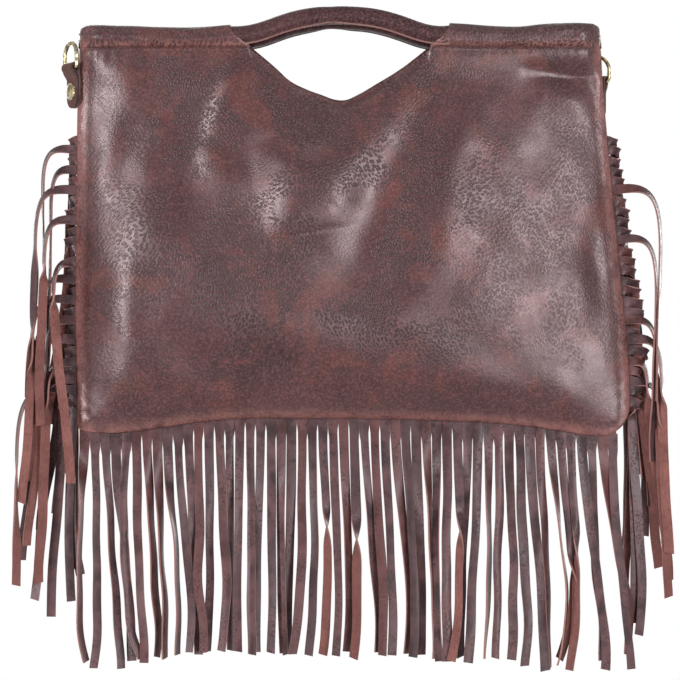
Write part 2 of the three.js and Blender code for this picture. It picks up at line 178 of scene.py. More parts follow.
def ripple(x, z, seed, wavelength, waves=7):
    """Seeded smooth unevenness, about -1 to 1."""
    draw = random.Random(seed)
    total = np.zeros_like(np.asarray(x, float))
    for _ in range(waves):
        turn = draw.uniform(0, math.tau)
        size = wavelength * draw.uniform(0.7, 1.5)
        phase = draw.uniform(0, math.tau)
        place = np.cos(turn) * x + np.sin(turn) * z
        total = total + np.sin(math.tau * place / size + phase)
    return total / math.sqrt(waves) * 0.8


def unit(ways):
    """Directions of length 1."""
    return ways / np.linalg.norm(ways, axis=1)[:, None]


def along(path, shares):
    """Points of a path at shares of its length."""
    path = np.asarray(path, float)
    steps = np.linalg.norm(np.diff(path, axis=0), axis=1)
    run = np.concatenate([[0.0], np.cumsum(steps)])
    at = np.asarray(shares) * run[-1]
    return np.stack([np.interp(at, run, path[:, k]) for k in range(path.shape[1])], axis=1)


def cut_to(path, length):
    """The first part of a path, of that length."""
    path = np.asarray(path, float)
    run = np.linalg.norm(np.diff(path, axis=0), axis=1).sum()
    return along(path, np.linspace(0.0, min(1.0, length / run), len(path)))


def bezier(points, count):
    """A cubic curve with two end points and two pull points."""
    t = np.linspace(0.0, 1.0, count)[:, None]
    a, b, c, d = [np.asarray(p, float) for p in points]
    return a * (1 - t) ** 3 + 3 * b * t * (1 - t) ** 2 + 3 * c * t * t * (1 - t) + d * t**3


def add_object(name, data):
    thing = bpy.data.objects.new(name, data)
    bpy.context.scene.collection.objects.link(thing)
    return thing


class Shape:
    """The points and faces of one piece, with a material number for each face and a tone for each point."""

    def __init__(self):
        self.points = []
        self.tones = []
        self.wear = []
        self.faces = []
        self.slots = []

    def add(self, points, faces, slots, tone=0.5, wear=0.0):
        start = len(self.points)
        points = np.asarray(points, float).reshape(-1, 3)
        self.points.extend(points)
        self.tones.extend(np.broadcast_to(tone, len(points)))
        self.wear.extend(np.broadcast_to(wear, len(points)))
        self.faces.extend([tuple(start + i for i in face) for face in faces])
        self.slots.extend(slots if hasattr(slots, "__len__") else [slots] * len(faces))

    def make(self, name, materials, sharp_angle=40.0):
        mesh = bpy.data.meshes.new(name)
        mesh.from_pydata([tuple(p * MM) for p in self.points], [], self.faces)
        for material in materials:
            mesh.materials.append(material)
        mesh.polygons.foreach_set("material_index", self.slots)
        mesh.polygons.foreach_set("use_smooth", [True] * len(self.faces))
        for label, values in (("tone", self.tones), ("wear", self.wear)):
            layer = mesh.attributes.new(label, "FLOAT", "POINT")
            layer.data.foreach_set("value", np.asarray(values, np.float32))
        mesh.update()
        mesh.set_sharp_from_angle(angle=math.radians(sharp_angle))
        return add_object(name, mesh)


def grid_faces(rows, columns, closed=False):
    """Four-sided faces of a grid of points, row after row."""
    wide = columns if closed else columns - 1
    faces = []
    for i in range(rows - 1):
        for j in range(wide):
            k = (j + 1) % columns
            faces.append((i * columns + j, i * columns + k, (i + 1) * columns + k, (i + 1) * columns + j))
    return faces


def rod_faces(rows, kinds, end_kind):
    """Faces of a closed rod of points with capped ends, and the material number of each face."""
    count = len(kinds)
    last = (rows - 1) * count
    faces = grid_faces(rows, count, closed=True)
    faces.append(tuple(range(count - 1, -1, -1)))
    faces.append(tuple(last + j for j in range(count)))
    return faces, kinds * (rows - 1) + [end_kind, end_kind]


# Materials


class Nodes:
    """The nodes of a material or a world."""

    def __init__(self, owner):
        owner.use_nodes = True
        self.tree = owner.node_tree
        self.tree.nodes.clear()

    def put(self, value, socket):
        if isinstance(value, bpy.types.NodeSocket):
            self.tree.links.new(value, socket)
        else:
            socket.default_value = value

    def node(self, kind, inputs=None, **settings):
        node = self.tree.nodes.new(kind)
        for key, value in settings.items():
            setattr(node, key, value)
        for key, value in (inputs or {}).items():
            self.put(value, node.inputs[key])
        return node

    def calculated(self, operation, *values):
        return self.node("ShaderNodeMath", dict(enumerate(values)), operation=operation).outputs["Value"]


class Paint(Nodes):
    """A material, with short ways to add its nodes. Scales are in features per metre."""

    def __init__(self, name):
        self.material = bpy.data.materials.new(name)
        super().__init__(self.material)
        self.place = self.node("ShaderNodeTexCoord").outputs["Object"]
        self.shader = self.node("ShaderNodeBsdfPrincipled")
        self.node("ShaderNodeOutputMaterial", {"Surface": self.shader.outputs["BSDF"]})

    def finish(self, inputs):
        """Sets the shader's inputs and gives the material."""
        for key, value in inputs.items():
            self.put(value, self.shader.inputs[key])
        return self.material

    def moved(self, scale=(1, 1, 1), turn=(0, 0, 0), shift=(0, 0, 0), place=None):
        inputs = {"Vector": place or self.place, "Scale": scale, "Rotation": turn, "Location": shift}
        return self.node("ShaderNodeMapping", inputs).outputs["Vector"]

    def axes(self, place):
        return self.node("ShaderNodeSeparateXYZ", {"Vector": place}).outputs

    def noise(self, scale, detail=2.0, rough=0.5, distort=0.0, place=None):
        inputs = {"Vector": place or self.place, "Scale": scale, "Detail": detail}
        inputs.update({"Roughness": rough, "Distortion": distort})
        return self.node("ShaderNodeTexNoise", inputs).outputs["Fac"]

    def wobble(self, scale, amount):
        """The place, pushed about by a coloured noise."""
        noise = self.node("ShaderNodeTexNoise", {"Vector": self.place, "Scale": scale}).outputs["Color"]
        way = self.node("ShaderNodeVectorMath", {0: noise, 1: (0.5, 0.5, 0.5)}, operation="SUBTRACT")
        push = {0: way.outputs["Vector"], 1: (amount, amount, amount), 2: self.place}
        return self.node("ShaderNodeVectorMath", push, operation="MULTIPLY_ADD").outputs["Vector"]

    def span(self, value, low, high, to_low=0.0, to_high=1.0):
        """The value, eased from low..high to to_low..to_high."""
        inputs = {"Value": value, "From Min": low, "From Max": high, "To Min": to_low, "To Max": to_high}
        return self.node("ShaderNodeMapRange", inputs, interpolation_type="SMOOTHSTEP").outputs["Result"]

    def times(self, a, b, *plus):
        """a times b, with plus added if it is given."""
        return self.calculated("MULTIPLY_ADD" if plus else "MULTIPLY", a, b, *plus)

    def blend(self, share, first, second):
        inputs = {"Factor": share, 6: first, 7: second}
        return self.node("ShaderNodeMix", inputs, data_type="RGBA").outputs[2]

    def layer(self, name):
        return self.node("ShaderNodeAttribute", attribute_name=name).outputs["Fac"]

    def bump(self, height, distance, strength=1.0):
        inputs = {"Height": height, "Distance": distance, "Strength": strength}
        return self.node("ShaderNodeBump", inputs).outputs["Normal"]


def shade(red, green, blue):
    """A colour from its 0 to 255 screen values."""
    linear = [c / 255 / 12.92 if c <= 10 else ((c / 255 + 0.055) / 1.055) ** 2.4 for c in (red, green, blue)]
    return (*linear, 1.0)


PIT = shade(30, 12, 12)
BROWN_DARK = shade(54, 32, 33)
BROWN = shade(70, 43, 44)
BROWN_RED = shade(88, 47, 42)
BROWN_WORN = shade(120, 82, 81)
SEAM_WORN = shade(126, 84, 79)
SUEDE = shade(120, 77, 72)
SUEDE_DARK = shade(86, 52, 49)
CUT_EDGE = shade(134, 104, 100)
TAB_EDGE_BROWN = shade(84, 68, 68)
FRINGE_BROWN = shade(82, 58, 60)
FRINGE_DARK = shade(46, 32, 34)
BRASS_BRIGHT = (0.52, 0.44, 0.28, 1.0)
BRASS_STAIN = (0.13, 0.1, 0.055, 1.0)
SHINE_TINT = (1.0, 0.86, 0.89, 1.0)
SHEEN_TINT = (0.8, 0.55, 0.5, 1.0)
GRAIN_DEPTH = 0.00012


def pit_rows(paint, slope, spacing):
    """Distance from the nearest of many pits in bent rows. slope is in degrees and spacing in metres."""
    bent = paint.wobble(10, 0.032)
    x, y, z = paint.axes(paint.moved(turn=(0, math.radians(slope), 0), place=bent))
    in_row = paint.times(y, 0.6 / spacing, paint.times(x, 0.95 / spacing))
    row = paint.times(y, 0.7 / spacing, paint.times(z, 1.0 / spacing))
    place = paint.node("ShaderNodeCombineXYZ", {0: in_row, 1: row}).outputs["Vector"]
    settings = {"voronoi_dimensions": "2D", "feature": "F1"}
    inputs = {"Vector": place, "Scale": 1.0, "Randomness": 0.7}
    return paint.node("ShaderNodeTexVoronoi", inputs, **settings).outputs["Distance"]


def leather(name, pitted=1.0, worn=1.0, deep=0.0, pale=0.0, top=0.0, rough=(0.23, 0.35), light=0.42):
    """Waxed grain leather: mottled brown, red where it is worn, with rows of small dark pits in patches.

    pitted, worn, deep and pale are how much of each it has, and top is how pitted the tunnels are at least.
    """
    paint = Paint(name)
    x, _, z = paint.axes(paint.place)
    patch = paint.span(paint.noise(21, 5, 0.62), 0.42, 0.54)
    mottle = paint.span(paint.noise(33, 6, 0.62, place=paint.moved(shift=(3.1, 1.7, 0.4))), 0.34, 0.68)
    fine = paint.span(paint.noise(620, 3, 0.6), 0.36, 0.64)
    red = paint.noise(24, 8, 0.7, 0.5, place=paint.moved(shift=(7.7, 2.2, 5.1)))
    red = paint.span(red, 0.5, 0.62, 0.0, worn)
    colour = paint.blend(mottle, BROWN_DARK, BROWN)
    colour = paint.blend(paint.times(red, 0.65), colour, BROWN_RED)
    colour = paint.blend(deep, colour, BROWN_DARK)
    colour = paint.blend(pale, colour, BROWN_WORN)
    wear = paint.times(paint.layer("wear"), paint.span(paint.noise(90, 5, 0.6), 0.3, 0.55, 0.25, 1.0))
    colour = paint.blend(wear, colour, SEAM_WORN)
    colour = paint.blend(paint.span(fine, 0.5, 1.0, 0.0, 0.26), colour, BROWN_WORN)
    colour = paint.blend(paint.span(fine, 0.0, 0.5, 0.26, 0.0), colour, PIT)
    rising = pit_rows(paint, 32.0, 0.0023)
    falling = pit_rows(paint, -56.0, 0.0024)
    which = paint.span(paint.times(paint.noise(12, 2), 0.24, x), 0.135, 0.145)
    pits = paint.span(paint.blend(which, rising, falling), 0.26, 0.46, 1.0, 0.0)
    amount = paint.span(patch, 0.0, 1.0, 0.12, 1.0)
    thinned = [(red, 0.0, 1.0, 1.0, 0.35), (paint.noise(150, 3), 0.3, 0.5, 0.5, pitted)]
    thinned.extend([(z, -0.262, -0.225, 0.25, 1.0), (x, 0.06, 0.13, 1.0, 0.5), (x, -0.17, -0.125, 0.45, 1.0)])
    for share in thinned:
        amount = paint.times(amount, paint.span(*share))
    tunnel = paint.times(paint.span(z, -0.019, -0.014, 0.0, top), paint.span(patch, 0.0, 1.0, 0.6, 1.0))
    dark = paint.times(pits, paint.calculated("MAXIMUM", amount, tunnel))
    gloss = paint.span(paint.noise(60, 4), 0.35, 0.7, rough[0], rough[1])
    height = paint.times(dark, -1.2, paint.times(fine, 0.25))
    return paint.finish({
        "Base Color": paint.blend(dark, colour, PIT),
        "Roughness": paint.times(dark, 0.2, gloss),
        "Specular IOR Level": light,
        "Specular Tint": SHINE_TINT,
        "Normal": paint.bump(height, GRAIN_DEPTH),
    })


def fringe_leather(name):
    """The strips' grain side: the same leather, smoother, with each strip its own tone."""
    paint = Paint(name)
    tone = paint.layer("tone")
    mottle = paint.span(paint.noise(60, 5, 0.6), 0.36, 0.64)
    colour = paint.blend(mottle, FRINGE_DARK, FRINGE_BROWN)
    colour = paint.blend(paint.span(tone, 0.5, 1.0, 0.0, 0.45), colour, BROWN_RED)
    colour = paint.blend(paint.span(tone, 0.0, 0.35, 0.5, 0.0), colour, FRINGE_DARK)
    pits = paint.span(paint.noise(640, 3, 0.6), 0.53, 0.62)
    pits = paint.times(pits, paint.span(paint.noise(38, 3), 0.44, 0.58, 0.08, 0.9))
    height = paint.times(pits, -0.9, paint.noise(420, 4))
    return paint.finish({
        "Base Color": paint.blend(paint.times(pits, 0.85), colour, PIT),
        "Roughness": paint.span(mottle, 0.0, 1.0, 0.28, 0.4),
        "Specular IOR Level": 0.26,
        "Specular Tint": SHINE_TINT,
        "Normal": paint.bump(height, GRAIN_DEPTH),
    })


def suede(name, light, dark):
    """Brushed suede or a cut edge: short nap with soft tone changes."""
    paint = Paint(name)
    nap = paint.noise(900, 4, 0.7, place=paint.moved(scale=(1, 1, 0.35)))
    drift = paint.noise(55, 4, 0.6)
    share = paint.times(nap, 0.6, paint.times(drift, 0.55))
    colour = paint.blend(paint.span(share, 0.38, 0.74), dark, light)
    return paint.finish({
        "Base Color": paint.blend(paint.span(paint.layer("tone"), 0.0, 0.6, 0.5, 0.0), colour, dark),
        "Roughness": 0.92,
        "Specular IOR Level": 0.15,
        "Sheen Weight": 0.25,
        "Sheen Roughness": 0.6,
        "Sheen Tint": SHEEN_TINT,
        "Normal": paint.bump(nap, 0.0005, 0.8),
    })


def brass(name):
    """Brushed, tarnished brass."""
    paint = Paint(name)
    stain = paint.span(paint.noise(260, 5, 0.6), 0.38, 0.64)
    scratch = paint.noise(1500, 2, place=paint.moved(scale=(1, 1, 0.2)))
    return paint.finish({
        "Base Color": paint.blend(stain, BRASS_BRIGHT, BRASS_STAIN),
        "Metallic": 1.0,
        "Roughness": paint.span(stain, 0.0, 1.0, 0.22, 0.42),
        "Normal": paint.bump(scratch, 0.00006, 0.5),
    })


GRAIN = leather("waxed_leather", top=0.8)
HANDLE_GRAIN = leather("handle_leather", pitted=0.8, worn=0.5, deep=0.45, rough=(0.34, 0.46), light=0.25)
TAB_GRAIN = leather("tab_leather", pitted=0.3, worn=0.0, pale=0.75, rough=(0.24, 0.34))
FRINGE_GRAIN = fringe_leather("fringe_grain")
REVERSE = suede("suede_reverse", SUEDE, SUEDE_DARK)
LINING_SUEDE = suede("suede_inside", SUEDE_DARK, BROWN_DARK)
RAW_EDGE = suede("cut_edge", CUT_EDGE, SUEDE)
TAB_EDGE = suede("tab_edge", TAB_EDGE_BROWN, BROWN_DARK)
BRASS = brass("brass")


# Panels

bottom_seam = spline(
    [(-191, -290), (-173, -292.5), (-130, -289), (-101, -284.5), (-7, -282), (79, -284), (130, -287),
     (158, -291), (187, -295), (210, -294)]
)
left_seam = spline([(-295, -189), (-210, -190.5), (-120, -189.5), (-60, -189), (-9, -187)])
right_seam = spline([(-295, 208), (-268, 208.5), (-160, 200), (-45, 189.5), (-9, 187)])
grip_edge = spline(
    [(-64, -15.8), (-44.6, -32.4), (-37.4, -39.2), (-24, -46.5), (-13, -50.6), (-3.6, -54), (3.6, -54.4),
     (13, -50.4), (25.2, -43.2), (43.2, -32), (64, -15.8)]
)
mouth_x = spline([(-17, 64), (-12, 71), (-7, 76), (-2, 78), (3, 79)])
tunnel_sag = spline(
    [(-187, 1.6), (-150, 0.2), (-108, -1.2), (-78, 0.6), (78, 2.0), (126, -0.4), (155, 2.2), (187, 2.6)]
)


def dome(distance, run, fullness=FULLNESS):
    """How far a filled panel stands out at a distance from a seam: 0 at the seam, 1 from run on."""
    t = np.clip(distance / run, 0.0, 1.0)
    return fullness * np.sqrt(1 - (1 - t) ** 2) + (1 - fullness) * np.sin(t * math.pi / 2)


def ridge(x, z, start, end, left_width, right_width, height):
    """A soft fold down from start to end, both (x, z), with its own width to the left and to the right."""
    ax, az = start
    bx, bz = end
    run = (bx - ax) ** 2 + (bz - az) ** 2
    t = np.clip(((x - ax) * (bx - ax) + (z - az) * (bz - az)) / run, 0.0, 1.0)
    gap = (x - ax - t * (bx - ax)) ** 2 + (z - az - t * (bz - az)) ** 2
    to_right = (x - ax) * (az - bz) + (z - az) * (bx - ax)
    share = smooth(0.5 + to_right / math.sqrt(run) / (left_width + right_width))
    width = left_width + (right_width - left_width) * share
    fade = 0.35 + 0.65 * np.sin(math.pi * np.clip(t, 0.02, 0.98)) ** 0.7
    return height * fade * np.exp(-gap / width**2)


def seam_loop():
    """The left seam, the bottom seam and the right seam as paths of (x, z), with rounded corners."""
    paths = []
    corners = []
    for side, seam, radius in ((-1, left_seam, LEFT_CORNER), (1, right_seam, RIGHT_CORNER)):
        corner_x = float(seam(-290.0))
        corner_z = float(bottom_seam(corner_x))
        high = np.array([float(seam(corner_z + radius)), corner_z + radius])
        low_x = corner_x - side * radius
        low = np.array([low_x, float(bottom_seam(low_x))])
        tip = np.array([corner_x, corner_z])
        t = np.linspace(0.0, 1.0, 41)[:, None]
        turn = high * (1 - t) ** 2 + 2 * tip * t * (1 - t) + low * t * t
        heights = np.linspace(high[1], STITCH_Z, 80)
        paths.append(np.concatenate([turn[20::-1], np.stack([seam(heights), heights], axis=1)[1:]]))
        corners.append(turn[20:])
    inner = np.linspace(corners[0][-1, 0], corners[1][-1, 0], 200)
    middle = np.stack([inner, bottom_seam(inner)], axis=1)
    bottom = np.concatenate([corners[0], middle[1:-1], corners[1][::-1]])
    return paths[0], bottom, paths[1]


def panel_grid():
    """A panel laid flat: x and z in rows from the bottom seam up, and distances from its four edges.

    The last result tells which columns end at the grip.
    """
    left, bottom, right = seam_loop()
    left_top = -TOP_HALF_WIDTH + TUNNEL_RUN * TUNNEL_SHARES
    grip_top = np.linspace(-MOUTH_AT_STITCH, MOUTH_AT_STITCH, GRIP_COLUMNS + 1)[1:-1]
    top_x = np.concatenate([left_top, grip_top, -left_top[::-1]])
    in_grip = np.abs(top_x) < MOUTH_AT_STITCH
    top_z = np.where(in_grip, grip_edge(top_x), STITCH_Z)
    top = np.stack([top_x, top_z], axis=1)
    top[0], top[-1] = left[-1], right[-1]
    c = (top_x + TOP_HALF_WIDTH) / (2 * TOP_HALF_WIDTH)
    v = np.linspace(0.0, 1.0, BODY_ROWS + 1) ** ROW_CROWDING
    low = along(bottom, c)
    side_a = along(left, v)
    side_b = along(right, v)
    cc = c[None, :, None]
    vv = v[:, None, None]
    flat = (1 - vv) * low[None] + vv * top[None] + (1 - cc) * side_a[:, None] + cc * side_b[:, None]
    flat -= (1 - cc) * ((1 - vv) * low[0] + vv * top[0]) + cc * ((1 - vv) * low[-1] + vv * top[-1])
    x, z = flat[..., 0], flat[..., 1]
    from_left = c * PANEL_WIDTH
    from_right = (1 - c) * PANEL_WIDTH
    from_bottom = v[:, None] * (top_z - low[:, 1])
    return x, z, from_left, from_right, from_bottom, top_z - z, in_grip


def panel_points(side, folds, seed):
    """A panel's outer face: its body as rows from the bottom seam up, then the rows round each tunnel."""
    x, z, from_left, from_right, from_bottom, from_top, in_grip = panel_grid()
    near_edge = np.minimum(np.minimum(from_left, from_right), from_bottom)
    depth = TOP_DEPTH + (BELLY_DEPTH - TOP_DEPTH) * smooth((TUNNEL_Z - z) / BELLY_DROP)
    left_dome = dome(from_left, LEFT_RUN * depth / BELLY_DEPTH, LEFT_FULLNESS)
    full_edge = (dome(from_left, FULL_EDGE_RUN, LEFT_FULLNESS) + dome(from_left, SLOW_RUN, LEFT_FULLNESS)) / 2
    left_dome = left_dome + (full_edge - left_dome) * smooth((FULL_EDGE_TOP - z) / FULL_EDGE_FADE)
    right_dome = dome(from_right, RIGHT_RUN, RIGHT_FULLNESS)
    stand = SEAM_Y + depth * left_dome * right_dome * dome(from_bottom, BOTTOM_RUN)
    open_top = np.where(in_grip, 1.0, smooth(from_top / 30.0))
    sewn_top = np.where(in_grip, 0.0, 1.0)
    foldable = smooth(near_edge / 25.0)
    unheld = smooth(from_top / 12.0 + 0.2 * in_grip)
    for fold in folds:
        stand = stand + ridge(x, z, *fold) * foldable * unheld
    stand = stand + 1.5 * ripple(x, z, seed, 150.0) * smooth(near_edge / 40.0) * open_top
    stand = stand + 0.5 * ripple(x, z, seed + 1, 46.0) * smooth(near_edge / 22.0) * open_top
    groove = np.exp(-(((near_edge - GROOVE_PLACE) / GROOVE_WIDTH) ** 2))
    stand = stand - GROOVE_DEPTH * groove * smooth(from_top / 20.0)
    pucker = ripple(x, z, seed + 2, 9.0, 9) * np.exp(-near_edge / 7.0) * smooth(near_edge / 3.0)
    stand = stand + 0.4 * pucker
    out, _, half_depth, _ = tunnel_core(x)
    hold = smooth(1.0 - from_top / 24.0) * sewn_top
    stand = stand * (1 - hold) + (out + half_depth * math.cos(math.radians(WRAP_START))) * hold
    stitch_pucker = 0.35 * np.sin(x / 1.35 + 1.5 * ripple(x, z, seed + 3, 40.0)) * np.exp(-from_top / 6.0)
    stand = stand + stitch_pucker * sewn_top * smooth(from_top / 2.0)
    body = np.stack([x, -side * stand, z], axis=2)
    worn = np.exp(-((near_edge / 6.0) ** 2)) + 0.5 * np.exp(-from_top / 2.5) * in_grip
    wraps = [wrap_points(side, sign, seed + 5) for sign in (-1, 1)]
    return body, worn, wraps


def handle_out(reach):
    """How far out a handle lies in its tunnel, at a distance along it from the bag's centre."""
    return HANDLE_Y - HANDLE_TOE_IN * (reach - HANDLE_MOUTH_X)


def tunnel_core(x):
    """The tunnel at x: its distance out from the middle, its height, its half depth and its half height."""
    to_end = np.clip(TOP_HALF_WIDTH - np.abs(x), 0.0, None)
    squeeze = dome(to_end, TUNNEL_END_RUN)
    out = handle_out(np.abs(x)) * squeeze + TUNNEL_END_OUT * (1 - squeeze)
    half_depth = TUNNEL_DEPTH * squeeze + TUNNEL_END_HALF_DEPTH * (1 - squeeze)
    corner = 1 - np.sqrt(1 - (1 - np.clip(to_end / TUNNEL_END_CORNER, 0.0, 1.0)) ** 2)
    half_height = TUNNEL_HEIGHT - 2.4 * corner
    middle = TUNNEL_Z + tunnel_sag(x) - 2.0 * corner
    return out, middle, half_depth, half_height


def wrap_points(side, sign, seed):
    """The rows of leather round one tunnel, from its stitch line over the front and the top to its hem."""
    from_end = TUNNEL_RUN * TUNNEL_SHARES
    end_wear = 0.6 * np.exp((from_end - TUNNEL_RUN) / 2.5) + 0.5 * np.exp(-from_end / 5.0)
    rows = []
    worn = []
    for turn in np.radians(np.linspace(WRAP_START, WRAP_END, WRAP_ROWS + 1))[1:]:
        mouth = float(mouth_x(TUNNEL_Z + TUNNEL_HEIGHT * math.sin(turn)))
        x = sign * (TOP_HALF_WIDTH + (mouth - TOP_HALF_WIDTH) * TUNNEL_SHARES)
        out, middle, half_depth, reach = tunnel_core(x)
        if math.sin(turn) < 0:
            reach = (middle - STITCH_Z) / -math.sin(math.radians(WRAP_START))
        uneven = 0.35 * ripple(x, 30 * turn, seed, 26.0)
        stand = out + (half_depth + uneven) * math.cos(turn)
        z = middle + (reach + uneven * 0.5) * math.sin(turn)
        rows.append(np.stack([x, -side * stand, z], axis=1))
        ridge_wear = math.exp(-((math.degrees(turn) + 45) / 22.0) ** 2)
        worn.append(0.75 * ridge_wear + end_wear)
    rows = np.array(rows)
    worn = np.array(worn)
    if sign > 0:
        rows = rows[:, ::-1]
        worn = worn[:, ::-1]
    return rows, worn


def make_panel(name, side, folds, seed):
    """One leather panel. side is 1 for the front and -1 for the back."""
    body, worn, wraps = panel_points(side, folds, seed)
    rows, columns = body.shape[:2]
    points = [body.reshape(-1, 3)]
    wear = [worn.reshape(-1)]
    faces = grid_faces(rows, columns)
    start = rows * columns
    last_row = (rows - 1) * columns
    for (wrap, wrap_wear), first in zip(wraps, (0, columns - TUNNEL_COLUMNS - 1)):
        high, wide = wrap.shape[:2]
        points.append(wrap.reshape(-1, 3))
        wear.append(wrap_wear.reshape(-1))
        for j in range(wide - 1):
            faces.append((last_row + first + j, last_row + first + j + 1, start + j + 1, start + j))
        faces.extend([tuple(start + i for i in face) for face in grid_faces(high, wide)])
        start += high * wide
    if side < 0:
        faces = [face[::-1] for face in faces]
    shape = Shape()
    shape.add(np.concatenate(points), faces, 0, wear=np.concatenate(wear))
    piece = shape.make(name, [GRAIN, LINING_SUEDE, RAW_EDGE], sharp_angle=180.0)
    solid = piece.modifiers.new("leather", "SOLIDIFY")
    solid.thickness = LEATHER * MM
    solid.offset = -1.0
    solid.material_offset = 1
    solid.material_offset_rim = 2
    whole = piece.evaluated_get(bpy.context.evaluated_depsgraph_get())
    mesh = bpy.data.meshes.new_from_object(whole)
    piece.modifiers.clear()
    piece.data = mesh
    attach(piece, "bag")
    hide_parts(name.replace("leather_", ""))
    return piece


# Folds: start and end as (x, z), the width to the left and to the right, and how far it stands out.
FRONT_FOLDS = [
    ((-67, -18), (-93, -86), 9.5, 18.0, 3.6),
    ((-104, -60), (-112, -150), 20.0, 20.0, -3.6),
    ((-36, -80), (-24, -152), 27.0, 40.0, 12.0),
    ((46, -38), (-12, -128), 34.0, 20.0, 7.4),
    ((28, -110), (8, -210), 22.0, 22.0, -3.4),
    ((136, -31), (184, -38), 6.0, 6.0, -3.8),
    ((150, -50), (186, -58), 10.0, 10.0, 3.0),
    ((86, -60), (70, -170), 20.0, 20.0, 3.6),
    ((-150, -70), (-158, -160), 14.0, 14.0, -2.8),
    ((-130, -235), (-20, -250), 22.0, 22.0, -3.0),
    ((40, -250), (150, -262), 20.0, 20.0, 2.4),
    ((184, -150), (188, -200), 9.0, 9.0, -2.2),
]
BACK_FOLDS = [
    ((62, -44), (84, -92), 10.0, 10.0, 3.0),
    ((-58, -44), (-8, -120), 15.0, 15.0, 3.2),
    ((-140, -28), (-180, -40), 7.0, 7.0, -3.0),
    ((110, -70), (120, -180), 24.0, 24.0, -2.4),
    ((-90, -80), (-60, -190), 24.0, 24.0, 2.6),
    ((-120, -240), (60, -250), 24.0, 24.0, -2.0),
    ((20, -150), (90, -230), 22.0, 22.0, 2.0),
]
front_panel = make_panel("leather_front_panel", 1, FRONT_FOLDS, 11)
back_panel = make_panel("leather_back_panel", -1, BACK_FOLDS, 37)


# Fringes


def add_ribbon(shape, path, across, half_widths, tone, cup, slant=0.0, half=STRIP_LEATHER / 2):
    """A strip of leather along a path. across is its width direction at each point of the path.

    half_widths gives the widths before and after the middle of the strip, the second on the side that
    across points to. Its grain side faces the way that the path's direction crossed with across points.
    half is half its thickness, cup is how far its edges bend back, and its end is cut askew by slant.
    """
    ahead = unit(np.gradient(path, axis=0))
    across = unit(across - ahead * (across * ahead).sum(axis=1)[:, None])
    grain = np.cross(ahead, across)
    before, after = half_widths
    spread = np.array([-1.0, -0.5, 0.0, 0.5, 1.0])
    section = [(w, half) for w in spread] + [(w, -half) for w in spread[::-1]]
    rings = []
    for w, n in section:
        reach = w * (after if w > 0 else before)
        rings.append(path + across * reach[:, None] + grain * (n - cup * w * w))
        rings[-1][-1] += ahead[-1] * slant * w
    faces, slots = rod_faces(len(path), [0, 0, 0, 0, 2, 1, 1, 1, 1, 2], 2)
    shape.add(np.stack(rings, axis=1), [face[::-1] for face in faces], slots, tone)


def face_turn(degrees):
    """The width direction of a hanging strip: at 0 its grain faces the front, at 180 its suede does."""
    turn = np.radians(degrees)
    return np.stack([np.cos(turn), np.sin(turn), np.zeros_like(turn)], axis=-1)


# One row for each strip of the bottom fringe, from the left: how far its middle and its tip sway to the
# right, how much lower its tip is than the shortest, how far its tip comes forward, and its turn at the tip
# in degrees.
BOTTOM_STRIPS = [
    (-4.0, 1.0, 9, 2, 66), (1.5, -0.5, 13, 3, 10), (5.5, 9.8, 14, 1, 38), (6.0, 11.7, 9, -4, -24),
    (-1.5, 11.4, 8, 3, 28), (1.8, 5.4, 9, 5, -8), (4.5, 7.3, 6, -3, 58), (3.5, 5.6, 6, 2, 72),
    (4.7, 7.6, 4, -2, 68), (5.8, 8.7, 2, 3, -14), (4.2, 6.3, 4, -3, 22), (0.3, 3.9, 2, 4, 8),
    (0.8, -2.0, 2, -6, 36), (4.0, 1.2, 1, 2, -6), (1.0, 0.3, 1, -5, 54), (-1.4, -1.4, 1, 2, 6),
    (0.5, 1.2, 3, 4, -8), (-2.0, -3.4, 2, -4, 26), (0.7, 0.0, 2, 2, 5), (-0.3, 1.9, 3, -4, -30),
    (-1.2, -3.4, 4, -7, 24), (0.0, -6.5, 3, 5, 4), (1.2, -2.4, 4, 1, -6), (3.1, -0.5, 4, -2, 176),
    (2.8, 2.1, 4, 4, 3), (3.2, 2.5, 2, -5, 36), (2.3, -0.6, 6, 2, 164), (5.7, 10.0, 3, -6, 34),
    (4.0, 5.4, 4, 3, -5), (3.7, 5.2, 4, 1, 6), (7.0, 9.2, 4, -6, 40), (4.7, 4.7, 5, 4, -4),
    (3.0, 3.7, 4, -4, 30), (4.1, 5.5, 6, -3, 64), (-0.4, 1.7, 8, 2, -42), (0.0, -0.6, 8, 3, 6),
    (2.0, -4.5, 8, 5, 178), (-2.6, -5.5, 6, -6, 34), (-2.2, -7.2, 9, 4, 8), (0.4, -2.4, 7, -3, 74),
    (0.2, -2.7, 6, 2, 16), (2.2, 2.2, 7, 3, -5), (3.3, 4.8, 12, -2, 12), (5.2, 11.0, 15, 5, -20),
    (4.2, 5.7, 14, -4, 46), (9.0, 4.0, 12, 3, 82), (8.0, -0.6, 9, -4, 158), (3.5, 0.0, 15, 2, 150),
    (9.0, 17.0, 15, 4, -6), (3.0, 8.7, 9, -6, 28), (11.4, 18.6, 6, -5, 36), (4.6, 13.3, 14, 3, -8),
]
WAVY_ENDS = 12


